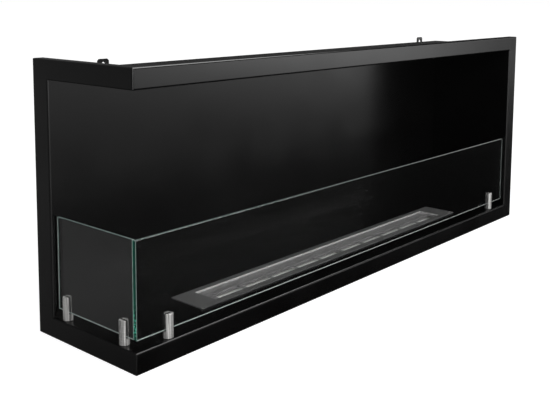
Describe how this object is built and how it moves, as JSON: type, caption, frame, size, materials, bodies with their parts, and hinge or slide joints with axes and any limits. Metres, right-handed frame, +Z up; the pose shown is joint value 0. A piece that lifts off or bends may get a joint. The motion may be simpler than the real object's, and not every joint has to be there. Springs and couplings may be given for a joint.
{
  "type": "bioethanol fireplace",
  "caption": "Built-in corner bioethanol fireplace: black folded-steel firebox open at the front and left, glass panes in slotted stainless holders, slotted burner with sliding shutter.",
  "frame": {"origin": "centre of the object's footprint, on the surface that it stands on", "axes": "+X along the front towards the closed right end, +Y from the front to the back wall, +Z up"},
  "size_m": [1.2, 0.245, 0.4475],
  "materials": {
    "black_powder_coat": "satin black powder coat",
    "clear_glass": "clear, polished edges with a green tint",
    "brushed_stainless": "brushed along the length",
    "turned_stainless": "satin, turned",
    "ceramic_wool": "white ceramic fibre blanket",
    "black_rubber": "matt",
    "zinc_steel": "zinc plated"
  },
  "bodies": {
    "root": {"front_top_fascia": "black_powder_coat", "left_top_fascia": "black_powder_coat", "base_tray": "black_powder_coat", "right_panel": "black_powder_coat", "back_panel": "black_powder_coat", "roof_panel": "black_powder_coat", "hanging_bracket_left": "black_powder_coat", "hanging_bracket_right": "black_powder_coat", "holder_front_left": "turned_stainless", "holder_pad_front_left": "black_rubber", "holder_screw_front_left": "zinc_steel", "holder_washer_front_left": "zinc_steel", "holder_front_right": "turned_stainless", "holder_pad_front_right": "black_rubber", "holder_screw_front_right": "zinc_steel", "holder_washer_front_right": "zinc_steel", "holder_left_front": "turned_stainless", "holder_pad_left_front": "black_rubber", "holder_screw_left_front": "zinc_steel", "holder_washer_left_front": "zinc_steel", "holder_left_rear": "turned_stainless", "holder_pad_left_rear": "black_rubber", "holder_screw_left_rear": "zinc_steel", "holder_washer_left_rear": "zinc_steel"},
    "front_pane": {"front_glass": "clear_glass"},
    "left_pane": {"left_glass": "clear_glass"},
    "burner": {"burner_rim": "brushed_stainless", "burner_tank": "brushed_stainless", "burner_slot_plate": "brushed_stainless", "shutter_guide_left": "brushed_stainless", "shutter_guide_middle": "brushed_stainless", "shutter_guide_right": "brushed_stainless", "ceramic_wool": "ceramic_wool"},
    "shutter": {"shutter_plate": "brushed_stainless"}
  },
  "joints": [
    {"name": "front_pane_lift", "type": "slide", "parent": "root", "child": "front_pane", "axis": [0, 0, 1], "range_m": [0, 0.04]},
    {"name": "left_pane_lift", "type": "slide", "parent": "root", "child": "left_pane", "axis": [0, 0, 1], "range_m": [0, 0.04]},
    {"name": "burner_lift", "type": "slide", "parent": "root", "child": "burner", "axis": [0, 0, 1], "range_m": [0, 0.05]},
    {"name": "shutter_slide", "type": "slide", "parent": "burner", "child": "shutter", "axis": [0, -1, 0], "range_m": [-0.003, 0.0145]}
  ]
}
